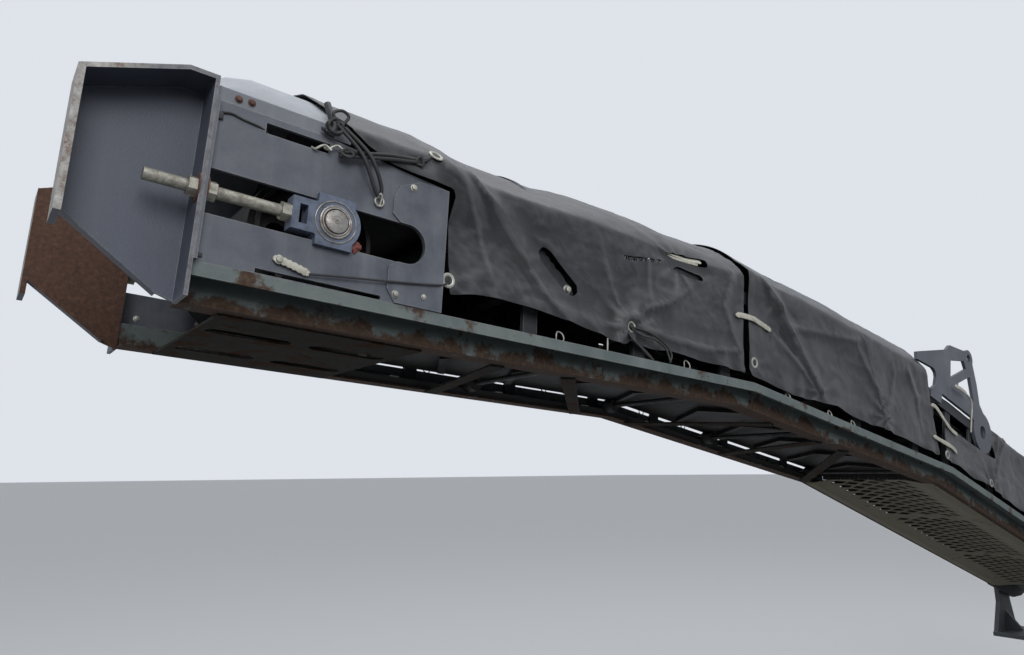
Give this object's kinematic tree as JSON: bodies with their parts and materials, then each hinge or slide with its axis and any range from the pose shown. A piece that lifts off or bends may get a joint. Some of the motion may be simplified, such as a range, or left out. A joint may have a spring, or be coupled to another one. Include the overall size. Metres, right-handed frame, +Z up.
{
  "type": "cold planer discharge conveyor",
  "caption": "Slewing and luffing belt conveyor boom with two bends, arched covers, mesh underguards, a take-up head and a discharge hood, hung from a bracket on the machine.",
  "frame": {"origin": "centre of the slew bracket's bolting face, where the conveyor is held on the machine", "axes": "+X runs forward along the conveyor to its discharge end, +Y is the machine's left side, +Z is up"},
  "size_m": [6.1395, 0.9453, 2.1706],
  "materials": {
    "mast_paint": "satin dark grey paint, worn at the edges",
    "pin_steel": "machined steel, lightly oxidised",
    "rail_paint": "faded grey-green paint with rusted edges",
    "frame_paint": "dusty dark grey paint",
    "rusted_steel": "bare steel with brown rust",
    "roller_steel": "dark worn steel",
    "head_paint": "bluish dark grey paint, scuffed",
    "cover_paint": "light grey paint, dusty",
    "bearing_paint": "blue-grey painted casting",
    "zinc_steel": "zinc-plated steel, dulled",
    "motor_paint": "dark grey paint",
    "guard_paint": "olive-brown painted expanded metal",
    "tarpaulin": "coated charcoal fabric, dusty and creased",
    "hose_rubber": "dull black",
    "belt_rubber": "dull black with dust",
    "drum_steel": "dark paint worn to steel"
  },
  "bodies": {
    "slew_bracket": {"slew_bracket": "mast_paint"},
    "yoke": {"slew_yoke": "mast_paint", "king_pin": "pin_steel", "lift_pins": "pin_steel"},
    "boom": {"lower_rail_left": "rail_paint", "lower_rail_right": "rail_paint", "upper_rail_left": "frame_paint", "upper_rail_right": "frame_paint", "posts_left": "frame_paint", "posts_right": "frame_paint", "cross_braces": "rusted_steel", "carry_idlers": "roller_steel", "idler_brackets": "frame_paint", "return_rollers": "roller_steel", "head_plate_left": "head_paint", "head_plate_right": "head_paint", "slot_end_plates": "head_paint", "hood_left": "head_paint", "hood_right": "head_paint", "head_cover": "cover_paint", "takeup_bearing_left": "bearing_paint", "takeup_bearing_right": "bearing_paint", "takeup_screws": "zinc_steel", "drive_motor": "motor_paint", "tail_plate_left": "frame_paint", "tail_plate_right": "frame_paint", "tail_bearings": "bearing_paint", "receiving_hopper": "frame_paint", "lift_bracket_left": "head_paint", "lift_bracket_right": "head_paint", "guard_1": "guard_paint", "guard_2": "guard_paint", "guard_3": "guard_paint", "head_pan": "rusted_steel", "cover_hoops": "frame_paint", "tarp_head": "tarpaulin", "tarp_middle": "tarpaulin", "tarp_root": "tarpaulin", "hydraulic_hoses": "hose_rubber", "hose_clips": "zinc_steel", "belt": "belt_rubber"},
    "head_drum": {"head_drum": "drum_steel", "head_shaft": "pin_steel"},
    "tail_drum": {"tail_drum": "drum_steel", "tail_shaft": "pin_steel"}
  },
  "joints": [
    {"name": "slew", "type": "hinge", "parent": "slew_bracket", "child": "yoke", "pos_m": [0.52, 0, 0], "axis": [0, 0, 1], "range_deg": [-35, 35]},
    {"name": "lift", "type": "hinge", "parent": "yoke", "child": "boom", "pos_m": [0.52, 0, 0.43], "axis": [0, -1, 0], "range_deg": [-5, 20]},
    {"name": "head_drum_spin", "type": "hinge", "parent": "boom", "child": "head_drum", "pos_m": [5.6532, 0, 1.62587], "axis": [0, 1, 0], "continuous": true},
    {"name": "tail_drum_spin", "type": "hinge", "parent": "boom", "child": "tail_drum", "pos_m": [0.35293, 0, 0.45878], "axis": [0, 1, 0], "continuous": true}
  ]
}
